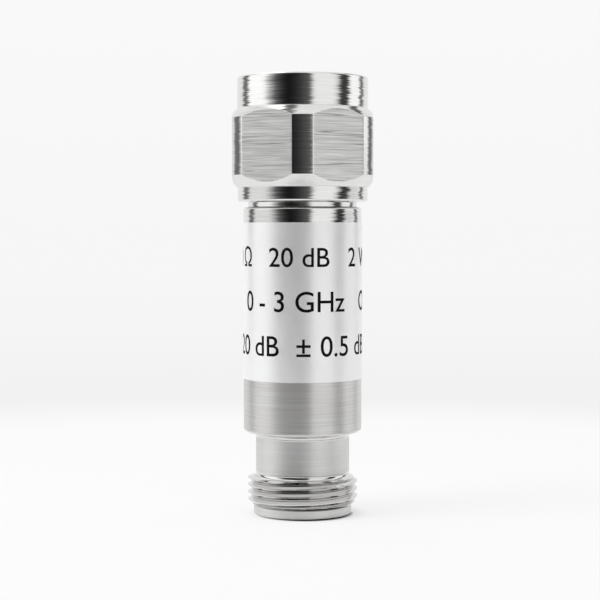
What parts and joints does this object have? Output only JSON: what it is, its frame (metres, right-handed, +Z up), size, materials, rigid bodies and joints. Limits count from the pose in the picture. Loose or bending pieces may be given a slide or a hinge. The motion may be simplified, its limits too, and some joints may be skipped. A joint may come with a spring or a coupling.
{
  "type": "coaxial rf attenuator",
  "caption": "In-line coaxial attenuator with a plug and spinning hexagonal coupling nut at one end, a label-wrapped barrel and a threaded jack at the other.",
  "frame": {"origin": "centre of the jack's rim, on the surface that the part stands on", "axes": "+Z up the axis from the jack to the plug, -Y towards the hexagon corner at the front of the label"},
  "size_m": [0.02, 0.0216, 0.0628],
  "materials": {
    "turned_bright_metal": "bright turned, fine lathe lines",
    "satin_metal": "satin, brushed round the axis",
    "label_film": "satin white film",
    "gold_plating": "gold plated",
    "contact_plating": "white bronze plated",
    "spring_bronze": "plain drawn bronze",
    "spring_steel": "plain rolled steel",
    "carrier_brass": "machined brass",
    "gasket_rubber": "matt moulded rubber",
    "white_insulator": "matt turned white plastic",
    "chip_ceramic": "fired ceramic"
  },
  "bodies": {
    "fixed_body": {"barrel": "satin_metal", "plug_body": "turned_bright_metal", "snap_ring": "spring_bronze", "face_gasket": "gasket_rubber", "outer_contact": "contact_plating", "centre_pin": "gold_plating", "plug_bead": "white_insulator", "line_sleeve": "contact_plating", "wrap_label": "label_film", "jack_contact": "gold_plating", "jack_bead": "white_insulator", "attenuator_chip": "chip_ceramic", "chip_carrier_front": "carrier_brass", "chip_carrier_back": "carrier_brass", "plug_tab": "contact_plating", "jack_tab": "contact_plating", "disc_spring": "spring_steel"},
    "nut": {"coupling_nut": "turned_bright_metal"}
  },
  "joints": [
    {"name": "nut_spin", "type": "hinge", "parent": "fixed_body", "child": "nut", "pos_m": [0, 0, 0.0539], "axis": [0, 0, 1], "continuous": true}
  ]
}
